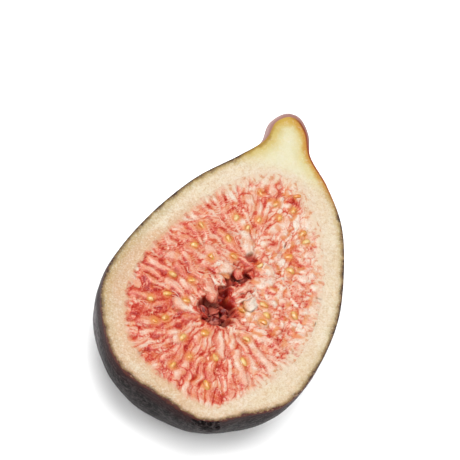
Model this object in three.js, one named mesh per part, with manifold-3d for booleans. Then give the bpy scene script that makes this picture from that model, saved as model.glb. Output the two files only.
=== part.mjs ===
// Half of a fresh fig, cut lengthways from the eye to the stem, lying on its rounded back with the cut
// face up. Units are millimetres. +Y runs from the eye, the small opening at the blossom end, to the stem,
// and +Z points up. The origin is the centre of the small flat spot that the half fig rests on.
//
//   rind   skin and pale flesh in one wall, with the neck, soft ribs, the eye's scales and a cavity for the
//          pulp
//   pulp   the red middle: a bed with every floret and seed fused into it, open round a ragged hollow

import * as THREE from 'three';
import { mergeVertices } from 'three/addons/utils/BufferGeometryUtils.js';
import Module from 'manifold-3d';

const wasm = await Module();
wasm.setup();

// ---- driving dimensions -------------------------------------------------------------------------

const WIDEST_HEIGHT = 19.8;       // the whole fig's widest plane, above the resting spot
const CUT_ABOVE_WIDEST = 2.0;     // the knife passed a little to one side of the middle
const CUT_HEIGHT = WIDEST_HEIGHT + CUT_ABOVE_WIDEST;
const PULP_GAP = 0.2;             // clearance between the pulp and the wall round it

// The fig's outline in its widest plane, as [x, y] from the eye to the stem's tip along either side.
const FIG = {
  eye: [4.6, -27.0],
  left: [
    [-3.5, -25.6], [-14.0, -22.0], [-20.3, -12.2], [-21.4, -3.1], [-17.7, 8.9],
    [-11.4, 21.0], [-4.4, 29.8], [-0.6, 35.4], [-0.1, 40.4], [1.9, 43.6],
  ],
  right: [
    [11.2, -23.2], [18.3, -18.0], [22.1, -9.6], [23.8, 1.5], [22.8, 11.5],
    [19.8, 22.6], [14.9, 30.3], [10.3, 35.4], [8.6, 40.6], [6.6, 43.6],
  ],
  tip: [4.3, 44.6],
  // The line along the fig's back, as [sideways shift, y, depth under the widest plane].
  back: [
    [0.4, -24.9, 8.3], [0.3, -20.7, 15.0], [-1.0, -13.4, 19.2], [-1.7, -0.5, 20.3], [-0.8, 11.5, 19.4],
    [-0.4, 22.0, 15.0], [0.0, 30.3, 9.2], [0.0, 35.5, 4.6], [0.0, 40.5, 2.9], [0.0, 43.3, 1.6],
  ],
};

// The pulp's outline and back, in the same form. The wall round it is 3 to 5 mm thick.
const PULP = {
  eye: [5.3, -24.2],
  left: [
    [-1.5, -23.2], [-9.2, -20.2], [-14.6, -15.4], [-17.1, -6.3], [-16.0, 2.0],
    [-12.3, 10.6], [-7.3, 19.9], [-2.7, 25.6], [1.2, 28.6],
  ],
  right: [
    [9.0, -21.0], [12.9, -16.4], [16.9, -10.6], [19.4, -2.8], [19.8, 3.3],
    [19.0, 11.0], [16.4, 19.2], [13.6, 24.6], [10.8, 28.6],
  ],
  tip: [6.2, 30.4],
  back: [
    [0.3, -22.0, 6.0], [0.2, -18.5, 11.0], [-0.8, -12.2, 15.0], [-1.4, -0.5, 16.3], [-0.7, 10.5, 15.2],
    [-0.3, 19.5, 11.8], [0.0, 25.3, 7.8], [0.0, 28.4, 5.0], [0.0, 30.0, 2.6],
  ],
};

const RIBS = { count: 16, depth: 0.014 };            // soft ribs, as a share of the section's half width
const NO_RIBS = { count: 1, depth: 0 };
const RESTING_PRESS = 0.8;                           // how far the ribs are pressed flat along the back line

// Scales close the eye in rings of [how many, radius]. Each lies a little lower than the ring outside it.
const EYE = { rings: [[9, 2.3], [5, 1.0]], length: 2.6, width: 1.9, thickness: 0.9, slope: 0.9, step: 0.4 };

const BED = { drop: 1.3, lip: 0.9, lipDrop: 0.2 };   // the bed lies under the cut inside a lip along the wall

// The hollow in the middle: a spine that the florets point at, and the pits dug along it.
const SPINE = { from: [1.0, -5.2], to: [4.6, 7.4] };
const PITS = [
  { at: [1.2, -5.6], size: [3.4, 2.7, 7.5] },
  { at: [3.2, 1.4], size: [1.4, 4.8, 3.4] },
  { at: [4.9, 7.0], size: [2.7, 2.3, 5.2] },
];
const MOUTH = 0.75;                                  // the part of each pit that no floret leans into

// Florets lie in tiers round the hollow, each tier on a curve that runs a share of the way (its level) from
// the wall to the spine. dip is how far the inner end of a floret goes down.
const TIERS = [
  { count: 50, level: 0.235, length: 9.0, width: 2.5, dip: 0.2 },
  { count: 32, level: 0.55, length: 6.6, width: 2.4, dip: 0.3 },
  { count: 17, level: 0.79, length: 4.2, width: 2.2, dip: 1.8 },
];
const FLORET = { top: 0.25, jitter: 0.3, bow: 0.6, taper: 0.2, blunt: 0.55, deep: 1.3 };
const SEEDS = { count: 40, from: 0.2, to: 0.88, size: [0.85, 1.05, 0.85], top: 0.4, jitter: 0.15 };
const GOLDEN_STEP = 0.618;                           // spreads the seeds evenly round the rim
const RANDOM_SEED = 7;

// How finely each form is faceted, as [rows from end to end, columns round it].
const FACETS = { fig: [36, 64], pulp: [22, 36], scale: [3, 5], floret: [4, 5], seed: [3, 5], pit: [8, 10] };
const RIM_POINTS = 48;

// ---- building blocks ----------------------------------------------------------------------------

function randomNumbers(seed) {
  let state = seed;
  return () => {
    state = (state + 0x6d2b79f5) | 0;
    let mixed = Math.imul(state ^ (state >>> 15), 1 | state);
    mixed = (mixed + Math.imul(mixed ^ (mixed >>> 7), 61 | mixed)) ^ mixed;
    return ((mixed ^ (mixed >>> 14)) >>> 0) / 4294967296;
  };
}

const random = randomNumbers(RANDOM_SEED);
const around = (spread) => (random() * 2 - 1) * spread;

// A closed skin of rings between two poles. pointAt(t, angle) gives a point for t from 0 to 1 along the skin.
function closedSkin(pointAt, [rows, columns]) {
  const positions = [];
  const indices = [];
  const add = (point) => positions.push(point.x, point.y, point.z);
  add(pointAt(0, 0));
  for (let row = 1; row < rows; row += 1) {
    for (let column = 0; column < columns; column += 1) {
      add(pointAt(row / rows, (column / columns) * 2 * Math.PI));
    }
  }
  add(pointAt(1, 0));
  const last = (rows - 1) * columns + 1;
  const ring = (row, column) => 1 + (row - 1) * columns + (column % columns);
  for (let column = 0; column < columns; column += 1) {
    indices.push(0, ring(1, column + 1), ring(1, column));
    for (let row = 1; row < rows - 1; row += 1) {
      indices.push(ring(row, column), ring(row, column + 1), ring(row + 1, column));
      indices.push(ring(row, column + 1), ring(row + 1, column + 1), ring(row + 1, column));
    }
    indices.push(last, ring(rows - 1, column), ring(rows - 1, column + 1));
  }
  const geometry = new THREE.BufferGeometry();
  geometry.setAttribute('position', new THREE.Float32BufferAttribute(positions, 3));
  geometry.setIndex(indices);
  return geometry;
}

function solid(geometry) {
  const bare = geometry.clone();
  bare.deleteAttribute('normal');
  bare.deleteAttribute('uv');
  const merged = mergeVertices(bare);
  return new wasm.Manifold(new wasm.Mesh({
    numProp: 3,
    vertProperties: new Float32Array(merged.attributes.position.array),
    triVerts: new Uint32Array(merged.index.array),
  }));
}

// The triangles of a solid's outer shell. Fusing can seal small hollows and leave loose scraps, and both are
// dropped.
function outerShell(vertices, triangles) {
  const parent = Array.from({ length: vertices.length / 3 }, (_, index) => index);
  const rootOf = (index) => {
    let root = index;
    while (parent[root] !== root) {
      parent[root] = parent[parent[root]];
      root = parent[root];
    }
    return root;
  };
  for (let index = 0; index < triangles.length; index += 3) {
    parent[rootOf(triangles[index + 1])] = rootOf(triangles[index]);
    parent[rootOf(triangles[index + 2])] = rootOf(triangles[index]);
  }
  const shells = new Map();
  for (let index = 0; index < triangles.length; index += 3) {
    const corners = [...triangles.slice(index, index + 3)]
      .map((vertex) => new THREE.Vector3().fromArray(vertices, vertex * 3));
    const root = rootOf(triangles[index]);
    const shell = shells.get(root) ?? { volume: 0, triangles: [] };
    shell.volume += corners[0].dot(corners[1].cross(corners[2])) / 6;
    shell.triangles.push(...triangles.slice(index, index + 3));
    shells.set(root, shell);
  }
  return [...shells.values()].sort((first, second) => second.volume - first.volume)[0].triangles;
}

function meshOf(manifold, name, material) {
  const { vertProperties, triVerts } = manifold.getMesh();
  const loose = new THREE.BufferGeometry();
  loose.setAttribute('position', new THREE.BufferAttribute(new Float32Array(vertProperties), 3));
  loose.setIndex(outerShell(vertProperties, triVerts));
  const geometry = mergeVertices(loose);
  geometry.computeVertexNormals();
  const result = new THREE.Mesh(geometry, material);
  result.name = name;
  return result;
}

function slab(bottom, top) {
  const wide = 200;
  const box = new THREE.BoxGeometry(wide, wide, top - bottom);
  box.translate(0, 0, (top + bottom) / 2);
  return solid(box);
}

// Joins a list in pairs, which keeps every single join small.
function joined(pieces) {
  let rest = pieces;
  while (rest.length > 1) {
    const next = [];
    for (let index = 0; index < rest.length; index += 2) {
      next.push(index + 1 < rest.length ? rest[index].add(rest[index + 1]) : rest[index]);
    }
    rest = next;
  }
  return rest[0];
}

// ---- the fig's own forms ------------------------------------------------------------------------

// Smooth closed curves through an outline, which runs up the left side, over the tip and down the right side,
// and through the back line with its mirror image above the widest plane.
function curvesOf(form) {
  const flat = ([x, y]) => new THREE.Vector3(x, y, 0);
  const outline = [form.eye, ...form.left, form.tip, ...[...form.right].reverse()].map(flat);
  const below = form.back.map(([x, y, depth]) => new THREE.Vector3(x, y, depth));
  const above = form.back.map(([x, y, depth]) => new THREE.Vector3(x, y, -depth)).reverse();
  const eyeEnd = new THREE.Vector3(0, form.eye[1], 0);
  const stemEnd = new THREE.Vector3(0, form.tip[1], 0);
  return {
    outline: new THREE.CatmullRomCurve3(outline, true, 'catmullrom', 0.5),
    back: new THREE.CatmullRomCurve3([eyeEnd, ...below, stemEnd, ...above], true, 'catmullrom', 0.5),
  };
}

// The same form a little larger all round.
function grown(form, by) {
  const { outline } = curvesOf(form);
  const centre = new THREE.Vector3();
  outline.getPoints(60).forEach((point) => centre.addScaledVector(point, 1 / 61));
  const total = outline.points.length;
  const moved = outline.points.map((point, index) => {
    const tangent = outline.getTangent(index / total);
    return [point.x - tangent.y * by, point.y + tangent.x * by];
  });
  const sideLength = form.left.length;
  return {
    eye: moved[0],
    left: moved.slice(1, 1 + sideLength),
    tip: moved[1 + sideLength],
    right: moved.slice(2 + sideLength).reverse(),
    back: form.back.map(([x, y, depth]) => [x, y + Math.sign(y - centre.y) * by * 0.5, depth + by]),
  };
}

// Elliptical sections that span the outline from side to side and reach down to the back line.
function figLoft(form, facets, ribs) {
  const { outline, back } = curvesOf(form);
  return closedSkin((t, angle) => {
    const left = outline.getPoint(t / 2);
    const right = outline.getPoint(1 - t / 2);
    const keel = back.getPoint(t / 2);
    const middle = left.clone().add(right).multiplyScalar(0.5);
    const half = right.clone().sub(left).multiplyScalar(0.5);
    const below = Math.max(Math.sin(angle), 0);
    const pressed = RESTING_PRESS * Math.sin(angle) ** 8;
    const fade = Math.sin(Math.PI * t) * Math.sin(angle) ** 2 * (1 - pressed);
    const swell = 1 + ribs.depth * fade * Math.cos(ribs.count * angle);
    return new THREE.Vector3(
      middle.x + half.x * Math.cos(angle) * swell + keel.x * below,
      middle.y + half.y * Math.cos(angle) * swell + (keel.y - middle.y) * below,
      WIDEST_HEIGHT - keel.z * Math.sin(angle) * swell,
    );
  }, facets);
}

// A plump body along a bent path, blunt at both ends and a little narrower at its far end.
function plump(path, width, height) {
  const up = new THREE.Vector3(0, 0, 1);
  return closedSkin((t, angle) => {
    const along = (1 - Math.cos(Math.PI * t)) / 2;
    const place = path.getPoint(along);
    const ahead = path.getTangent(along);
    const side = new THREE.Vector3().crossVectors(up, ahead).normalize();
    const top = new THREE.Vector3().crossVectors(ahead, side).normalize();
    const round = Math.sin(Math.PI * t) ** FLORET.blunt * (1 - FLORET.taper * along);
    return place
      .addScaledVector(side, (Math.cos(angle) * round * width) / 2)
      .addScaledVector(top, (Math.sin(angle) * round * height) / 2);
  }, FACETS.floret);
}

function ellipsoid(at, size, facets) {
  return closedSkin((t, angle) => new THREE.Vector3(
    at.x + Math.sin(Math.PI * t) * Math.cos(angle) * size[0],
    at.y + Math.sin(Math.PI * t) * Math.sin(angle) * size[1],
    at.z - Math.cos(Math.PI * t) * size[2],
  ), facets);
}

// ---- rind ---------------------------------------------------------------------------------------

// Small scales that close the eye, in rings that point at its middle.
function eyeScales() {
  const centre = new THREE.Vector3(FIG.eye[0], FIG.eye[1], WIDEST_HEIGHT);
  const scales = [];
  EYE.rings.forEach(([count, radius], ringIndex) => {
    for (let index = 0; index < count; index += 1) {
      const angle = ((index + ringIndex / 2) / count) * 2 * Math.PI;
      const spoke = new THREE.Vector3(Math.cos(angle), 0, Math.sin(angle));
      const outer = centre.clone().addScaledVector(spoke, radius + EYE.length / 2);
      const inner = centre.clone().addScaledVector(spoke, Math.max(radius - EYE.length / 2, 0.1));
      outer.y += EYE.slope - ringIndex * EYE.step;
      inner.y -= ringIndex * EYE.step;
      const path = new THREE.LineCurve3(outer, inner);
      scales.push(solid(scaleOn(path, spoke)));
    }
  });
  return joined(scales);
}

function scaleOn(path, spoke) {
  const across = new THREE.Vector3(-spoke.z, 0, spoke.x);
  return closedSkin((t, angle) => {
    const round = Math.sqrt(Math.max(0, 1 - (2 * t - 1) ** 2));
    return path.getPoint(t)
      .addScaledVector(across, (Math.cos(angle) * round * EYE.width) / 2)
      .add(new THREE.Vector3(0, (Math.sin(angle) * round * EYE.thickness) / 2, 0));
  }, FACETS.scale);
}

function rind() {
  const whole = solid(figLoft(FIG, FACETS.fig, RIBS)).add(eyeScales());
  const cavity = solid(figLoft(grown(PULP, PULP_GAP), FACETS.pulp, NO_RIBS));
  return whole.intersect(slab(0, CUT_HEIGHT)).subtract(cavity);
}

// ---- pulp ---------------------------------------------------------------------------------------

// The point of the hollow's spine that is nearest to a point of the rim.
function nearestOnSpine(point) {
  const from = new THREE.Vector3(...SPINE.from, 0);
  const to = new THREE.Vector3(...SPINE.to, 0);
  return new THREE.Line3(from, to).closestPointToPoint(point, true, new THREE.Vector3());
}

// A closed curve that runs a share of the way from the rim to the spine.
function tierCurve(rim, level) {
  const points = rim.getSpacedPoints(RIM_POINTS).slice(0, -1);
  const moved = points.map((point) => point.clone().lerp(nearestOnSpine(point), level));
  return new THREE.CatmullRomCurve3(moved, true, 'catmullrom', 0.5);
}

function florets(rim) {
  const pieces = [];
  TIERS.forEach((tier) => {
    const curve = tierCurve(rim, tier.level);
    for (let index = 0; index < tier.count; index += 1) {
      const place = curve.getPointAt((index + 0.5 + around(0.15)) / tier.count);
      const inward = nearestOnSpine(place).sub(place).normalize();
      const sideways = new THREE.Vector3(-inward.y, inward.x, 0);
      const reach = tier.length * (1 + around(0.12)) / 2;
      const width = tier.width * (1 + around(0.12));
      const height = width * FLORET.deep;
      place.addScaledVector(inward, around(0.5));
      place.z = CUT_HEIGHT + FLORET.top - height / 2 + around(FLORET.jitter);
      const outer = place.clone().addScaledVector(inward, -reach);
      const inner = place.clone().addScaledVector(inward, reach);
      outer.z -= 0.2;
      inner.z -= tier.dip;
      place.addScaledVector(sideways, around(FLORET.bow));
      pieces.push(solid(plump(new THREE.CatmullRomCurve3([outer, place, inner]), width, height)));
    }
  });
  return joined(pieces);
}

function seeds(rim) {
  const pieces = [];
  for (let index = 0; index < SEEDS.count; index += 1) {
    const start = rim.getPointAt((index * GOLDEN_STEP + around(0.01) + 1) % 1);
    const way = SEEDS.from + (SEEDS.to - SEEDS.from) * random();
    const place = start.clone().lerp(nearestOnSpine(start), way);
    place.z = CUT_HEIGHT + SEEDS.top - SEEDS.size[2] + around(SEEDS.jitter);
    pieces.push(solid(ellipsoid(place, SEEDS.size, FACETS.seed)));
  }
  return joined(pieces);
}

function hollow(share) {
  return joined(PITS.map((pit) => {
    const centre = new THREE.Vector3(pit.at[0], pit.at[1], CUT_HEIGHT);
    return solid(ellipsoid(centre, pit.size.map((reach) => reach * share), FACETS.pit));
  }));
}

// The space over the bed, inside the lip.
function overBed() {
  const { outline } = curvesOf(grown(PULP, -BED.lip));
  const shape = new THREE.Shape(outline.getSpacedPoints(RIM_POINTS).slice(0, -1));
  const space = new THREE.ExtrudeGeometry(shape, { depth: BED.drop + 1, bevelEnabled: false });
  space.translate(0, 0, CUT_HEIGHT - BED.drop);
  return solid(space);
}

function pulp() {
  const { outline } = curvesOf(PULP);
  const blank = solid(figLoft(PULP, FACETS.pulp, NO_RIBS));
  const bed = blank.intersect(slab(0, CUT_HEIGHT - BED.lipDrop)).subtract(overBed()).subtract(hollow(1));
  const proud = blank.intersect(slab(0, CUT_HEIGHT + 1));
  return bed.add(florets(outline)).add(seeds(outline)).subtract(hollow(MOUTH)).intersect(proud);
}

// ---- the half fig -------------------------------------------------------------------------------

const skin = new THREE.MeshStandardMaterial({ color: 0x3b2733, roughness: 0.5, metalness: 0 });
const flesh = new THREE.MeshStandardMaterial({ color: 0xd8685a, roughness: 0.35, metalness: 0 });

const fig = new THREE.Group();
fig.add(meshOf(rind(), 'rind', skin));
fig.add(meshOf(pulp(), 'pulp', flesh));

export default fig;
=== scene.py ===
import random
from collections import namedtuple
from math import acos, asin, atan2, ceil, cos, hypot, pi, radians, sin, sqrt, tau

import bpy
from mathutils import Matrix, Vector, bvhtree, kdtree, noise


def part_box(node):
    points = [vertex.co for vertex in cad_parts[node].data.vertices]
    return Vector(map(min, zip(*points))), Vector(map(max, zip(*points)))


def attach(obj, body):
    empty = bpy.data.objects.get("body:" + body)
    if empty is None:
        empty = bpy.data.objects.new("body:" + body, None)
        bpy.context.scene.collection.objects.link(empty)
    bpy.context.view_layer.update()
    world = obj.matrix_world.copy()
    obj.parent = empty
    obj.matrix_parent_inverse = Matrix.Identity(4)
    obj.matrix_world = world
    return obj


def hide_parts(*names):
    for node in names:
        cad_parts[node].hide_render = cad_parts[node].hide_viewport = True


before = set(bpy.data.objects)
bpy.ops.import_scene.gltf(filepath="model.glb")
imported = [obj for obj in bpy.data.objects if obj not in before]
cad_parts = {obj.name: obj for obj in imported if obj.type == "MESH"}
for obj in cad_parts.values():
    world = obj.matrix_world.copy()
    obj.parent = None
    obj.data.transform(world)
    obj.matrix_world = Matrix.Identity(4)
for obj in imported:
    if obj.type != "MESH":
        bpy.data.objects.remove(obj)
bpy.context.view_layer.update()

# Half of a fresh fig, cut lengthways, lying on its rounded back with the cut face up. The forms below are in
# millimetres, in the frame's own axes: +Y from the eye to the stem, +Z up, origin at the resting spot.

MM = 0.001
UP = Vector((0.0, 0.0, 1.0))
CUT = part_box("rind")[1].z / MM  # the height of the cut face
CUT_ABOVE_WIDEST = 2.0
WIDEST = CUT - CUT_ABOVE_WIDEST  # the height of the whole fig's widest plane
CUT_STEPS = 900  # along each side of a line that the cut makes
RIM_POINTS = 240

FIG = {
    "eye": (4.6, -27.0),
    "left": [(-3.5, -25.6), (-14.0, -22.0), (-20.3, -12.2), (-21.4, -3.1), (-17.7, 8.9),
             (-11.4, 21.0), (-4.4, 29.8), (-0.6, 35.4), (-0.1, 40.4), (1.9, 43.6)],
    "right": [(11.2, -23.2), (18.3, -18.0), (22.1, -9.6), (23.8, 1.5), (22.8, 11.5),
              (19.8, 22.6), (14.9, 30.3), (10.3, 35.4), (8.6, 40.6), (6.6, 43.6)],
    "tip": (4.3, 44.6),
    "back": [(0.4, -24.9, 8.3), (0.3, -20.7, 15.0), (-1.0, -13.4, 19.2), (-1.7, -0.5, 20.3),
             (-0.8, 11.5, 19.4), (-0.4, 22.0, 15.0), (0.0, 30.3, 9.2), (0.0, 35.5, 4.6),
             (0.0, 40.5, 2.9), (0.0, 43.3, 1.6)],
}
PULP = {
    "eye": (5.3, -24.2),
    "left": [(-1.5, -23.2), (-9.2, -20.2), (-14.6, -15.4), (-17.1, -6.3), (-16.0, 2.0),
             (-12.3, 10.6), (-7.3, 19.9), (-2.7, 25.6), (1.2, 28.6)],
    "right": [(9.0, -21.0), (12.9, -16.4), (16.9, -10.6), (19.4, -2.8), (19.8, 3.3),
              (19.0, 11.0), (16.4, 19.2), (13.6, 24.6), (10.8, 28.6)],
    "tip": (6.2, 30.4),
    "back": [(0.3, -22.0, 6.0), (0.2, -18.5, 11.0), (-0.8, -12.2, 15.0), (-1.4, -0.5, 16.3),
             (-0.7, 10.5, 15.2), (-0.3, 19.5, 11.8), (0.0, 25.3, 7.8), (0.0, 28.4, 5.0), (0.0, 30.0, 2.6)],
}
RIBS = 16
RIB_DEPTH = 0.014  # as a share of the section's half width

SPINE = (Vector((1.0, -5.2, 0.0)), Vector((4.6, 7.4, 0.0)))  # the hollow's middle line
CORE = (Vector((0.8, -8.0, 0.0)), Vector((5.4, 19.0, 0.0)))  # the whole pulp's middle line
PITS = [  # of the hollow: x, y, half width, half length, depth
    (0.8, -4.0, 3.2, 2.9, 4.2), (1.0, 0.3, 0.9, 1.8, 2.0), (1.0, 3.0, 1.5, 1.2, 2.6),
    (3.1, 4.8, 1.6, 1.3, 2.9), (4.8, 6.2, 1.1, 1.0, 2.3), (2.0, 6.9, 0.7, 0.5, 1.5),
    (4.2, 9.3, 1.2, 0.7, 1.7),
]

draw = random.Random(11)


def around(spread):
    return draw.uniform(-spread, spread)


def ease(low, high, value):
    share = min(max((value - low) / (high - low), 0.0), 1.0)
    return share * share * (3.0 - 2.0 * share)


# ---- forms ----

def closed_curve(points):
    """A smooth closed curve through the points, as a function of a share from 0 to 1."""
    total = len(points)

    def at(share):
        place = (share % 1.0) * total
        first = int(place)
        part = place - first
        before, start, end, after = (points[(first + step) % total] for step in (-1, 0, 1, 2))
        return 0.5 * (2.0 * start + (end - before) * part
                      + (2.0 * before - 5.0 * start + 4.0 * end - after) * part ** 2
                      + (3.0 * start - before - 3.0 * end + after) * part ** 3)

    return at


def curves_of(form):
    """The closed curves through a form's outline, and through its back line and that line's mirror image."""
    outline = [form["eye"], *form["left"], form["tip"], *reversed(form["right"])]
    below = [Vector((x, y, depth)) for x, y, depth in form["back"]]
    above = [Vector((x, y, -depth)) for x, y, depth in reversed(form["back"])]
    ends = [Vector((0.0, form[end][1], 0.0)) for end in ("eye", "tip")]
    return (closed_curve([Vector((x, y, 0.0)) for x, y in outline]),
            closed_curve([ends[0], *below, ends[1], *above]))


def section(outline, share):
    """An outline's middle at a share from the eye to the tip, and the way from there to its right side."""
    left, right = outline(share / 2.0), outline(1.0 - share / 2.0)
    return (left + right) / 2.0, (right - left) / 2.0


def loft(form, swell=lambda share, angle: 1.0):
    """A point of the form's round surface for a share from the eye to the tip and an angle round it."""
    outline, back = curves_of(form)
    sections = {}

    def at(share, angle):
        key = round(share, 6)
        if key not in sections:
            sections[key] = (*section(outline, share), back(share / 2.0))
        middle, half, keel = sections[key]
        below = max(sin(angle), 0.0)
        out = swell(share, angle)
        return Vector((middle.x + half.x * cos(angle) * out + keel.x * below,
                       middle.y + half.y * cos(angle) * out + (keel.y - middle.y) * below,
                       WIDEST - keel.z * sin(angle) * out))

    return at


def rib_swell(share, angle):
    """The skin's shallow ribs, which fade towards the cut, the ends and the resting spot."""
    pressed = 0.8 * sin(angle) ** 8
    fade = sin(pi * share) * sin(angle) ** 2 * (1.0 - pressed)
    return 1.0 + RIB_DEPTH * fade * cos(RIBS * angle)


def cut_outline(form):
    """The closed line where the cut meets a form, seen from above, as (point, share, angle) triples."""
    outline, back = curves_of(form)
    sides = ([], [])
    for step in range(CUT_STEPS + 1):
        share = (1.0 - cos(pi * step / CUT_STEPS)) / 2.0
        depth = back(share / 2.0).z
        if depth > CUT_ABOVE_WIDEST:
            angle = -asin(CUT_ABOVE_WIDEST / depth)
            middle, half = section(outline, share)
            sides[0].append((middle + half * cos(angle), share, angle))
            sides[1].append((middle - half * cos(angle), share, pi - angle))
    return sides[0] + sides[1][::-1]


def even_line(line, count):
    """Triples at equal distances along a closed line of triples."""
    closed = line + line[:1]
    lengths = [0.0]
    for first, second in zip(closed, closed[1:]):
        lengths.append(lengths[-1] + (second[0] - first[0]).length)
    chosen = []
    index = 0
    for step in range(count):
        goal = lengths[-1] * step / count
        while lengths[index + 1] < goal:
            index += 1
        chosen.append(closed[index])
    return chosen


def level(point):
    return Vector((point.x, point.y, 0.0))


def nearest(point, start, end):
    """The nearest point of the straight line between two ends."""
    span = end - start
    share = (point - start).dot(span) / max(span.length_squared, 1e-9)
    return start.lerp(end, min(max(share, 0.0), 1.0))


def on_spine(point):
    return nearest(point, *SPINE)


def inward(place):
    """The level direction from a place to the hollow's middle line."""
    return (on_spine(place) - place).normalized()


def search_tree(points):
    tree = kdtree.KDTree(len(points))
    for index, point in enumerate(points):
        tree.insert(point, index)
    tree.balance()
    return tree


def distance_from(line):
    """A function that says how far a place is, seen from above, from a closed level line of close points."""
    tree = search_tree(line)

    def distance(place):
        flat = level(place)
        index = tree.find(flat)[1]
        before, here, after = (line[(index + step) % len(line)] for step in (-1, 0, 1))
        return min((flat - nearest(flat, *ends)).length for ends in ((before, here), (here, after)))

    return distance


def wave(place, seed):
    """Smooth noise from about -1 to 1, another for each seed."""
    return noise.noise(place + UP * seed)


def sway(place, size, seed):
    """A smooth sideways shift that varies from place to place."""
    spot = Vector((place.x / size, place.y / size, seed))
    return Vector((noise.noise(spot), wave(spot, 17.0), 0.0))


PULP_OUTLINE, PULP_BACK = curves_of(PULP)
PULP_RIM = [spot[0] for spot in even_line(cut_outline(PULP), RIM_POINTS)]
from_pulp_rim = distance_from(PULP_RIM)


def rim_side(place):
    """0 on the left and below, 1 on the right and towards the neck."""
    return max(ease(-2.0, 10.0, place.x), ease(10.0, 22.0, place.y))


# ---- modelling helpers ----

def pick(*objects):
    """Selects these objects alone, and with none clears the selection."""
    bpy.ops.object.select_all(action="DESELECT")
    for chosen in objects:
        chosen.select_set(True)
    if objects:
        bpy.context.view_layer.objects.active = objects[0]


def add_ball(name, segments, rings, radius=1.0):
    pick()
    bpy.ops.mesh.primitive_uv_sphere_add(segments=segments, ring_count=rings, radius=radius)
    ball = bpy.context.object
    ball.name = name
    return ball


def ball_grid(vertex, segments):
    """How far up a ball a vertex lies, as a share of the rings, and its number round the ball."""
    share = acos(min(max(-vertex.co.z, -1.0), 1.0)) / pi
    return share, round(atan2(vertex.co.y, vertex.co.x) / tau * segments) % segments


def copy_of(model):
    copy = model.copy()
    copy.data = model.data.copy()
    bpy.context.scene.collection.objects.link(copy)
    return copy


def join(copies, name, model):
    """Makes one piece of the copies of a model, and takes the model away."""
    pick(*copies)
    bpy.ops.object.join()
    joined = bpy.context.object
    joined.name = name
    joined.data.name = name
    bpy.data.objects.remove(model)
    return joined


def places(piece):
    return [vertex.co / MM for vertex in piece.data.vertices]


def write_values(piece, rows):
    """Gives a piece's vertices the values that its material reads, one row of named values to a vertex."""
    layers = piece.data.attributes
    for name in rows[0]:
        if name not in layers:
            layers.new(name, "FLOAT", "POINT")
        layers[name].data.foreach_set("value", [row[name] for row in rows])


def finish_piece(piece, body_slot, *materials, stands_for=None):
    piece.data.materials.clear()
    for material in materials:
        piece.data.materials.append(material)
    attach(piece, "root")
    if stands_for:
        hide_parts(stands_for)
    return piece


# ---- materials ----

LIGHT = 2.15  # the brightness of a level white surface in the studio


class Shade:
    """A value, colour or vector of a material. Sums and products of shades are shader nodes too."""

    def __init__(self, socket):
        self.socket = socket
        self.tree = socket.id_data

    def maths(self, operation, first, second):
        return node(self.tree, "ShaderNodeMath", 0, {0: first, 1: second}, operation=operation)

    def __add__(self, other):
        return self.maths("ADD", self, other)

    def __sub__(self, other):
        return self.maths("SUBTRACT", self, other)

    def __rsub__(self, other):
        return self.maths("SUBTRACT", other, self)

    def __mul__(self, other):
        return self.maths("MULTIPLY", self, other)

    __radd__ = __add__

    def at_least(self, other):
        return self.maths("MAXIMUM", self, other)

    def fit(self, low, high, to_low=0.0, to_high=1.0, kind="SMOOTHSTEP"):
        """Eases from one value to another while the shade runs from low to high, and stays there beyond."""
        return node(self.tree, "ShaderNodeMapRange", "Result", {
            "Value": self, "From Min": low, "From Max": high, "To Min": to_low, "To Max": to_high,
        }, interpolation_type=kind)

    def spread(self, low, high, to_low=0.0, to_high=1.0):
        """The same in a straight line."""
        return self.fit(low, high, to_low, to_high, "LINEAR")


def feed(made, inputs):
    """Links a node's inputs to shades, and sets those that are the same all over."""
    for key, value in inputs.items():
        if isinstance(value, Shade):
            made.id_data.links.new(value.socket, made.inputs[key])
        else:
            made.inputs[key].default_value = value


def node(tree, kind, output, inputs, **settings):
    """A new shader node's output."""
    made = tree.nodes.new(kind)
    for name, value in settings.items():
        setattr(made, name, value)
    feed(made, inputs)
    return Shade(made.outputs[output])


def colour(tone):
    """A surface colour, given as it looks in the studio's light, where 255 is white."""
    def linear(value):
        value /= 255.0
        return value / 12.92 if value <= 0.04045 else ((value + 0.055) / 1.055) ** 2.4
    return (*(linear(value) / LIGHT for value in tone), 1.0)


def coats(base, *layers):
    """A base colour under further ones, each with the mask that says how much of it shows."""
    for mask, tone in layers:
        base, tone = (part if isinstance(part, Shade) else colour(part) for part in (base, tone))
        base = node(mask.tree, "ShaderNodeMix", 2, {0: mask, 6: base, 7: tone}, data_type="RGBA")
    return base


def ramp(value, tones):
    """A colour that runs through the tones in even steps."""
    made = node(value.tree, "ShaderNodeValToRGB", "Color", {"Fac": value})
    band = made.socket.node.color_ramp
    while len(band.elements) < len(tones):
        band.elements.new(0.5)
    for index, tone in enumerate(tones):
        band.elements[index].position = index / (len(tones) - 1)
        band.elements[index].color = colour(tone)
    return made


def vector(x, y, z=0.0):
    return node(x.tree, "ShaderNodeCombineXYZ", "Vector", {"X": x, "Y": y, "Z": z})


def grain_of(place, scale, detail=3.0, roughness=0.5):
    return node(place.tree, "ShaderNodeTexNoise", "Fac", {
        "Vector": place, "Scale": scale, "Detail": detail, "Roughness": roughness})


def relief(*layers):
    """Small relief, one over another, each as its height, its strength and its depth in millimetres."""
    normal = {}
    for height, strength, depth in layers:
        inputs = {"Height": height, "Strength": strength, "Distance": depth * MM}
        normal = {"Normal": node(height.tree, "ShaderNodeBump", "Normal", inputs | normal)}
    return normal["Normal"]


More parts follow.
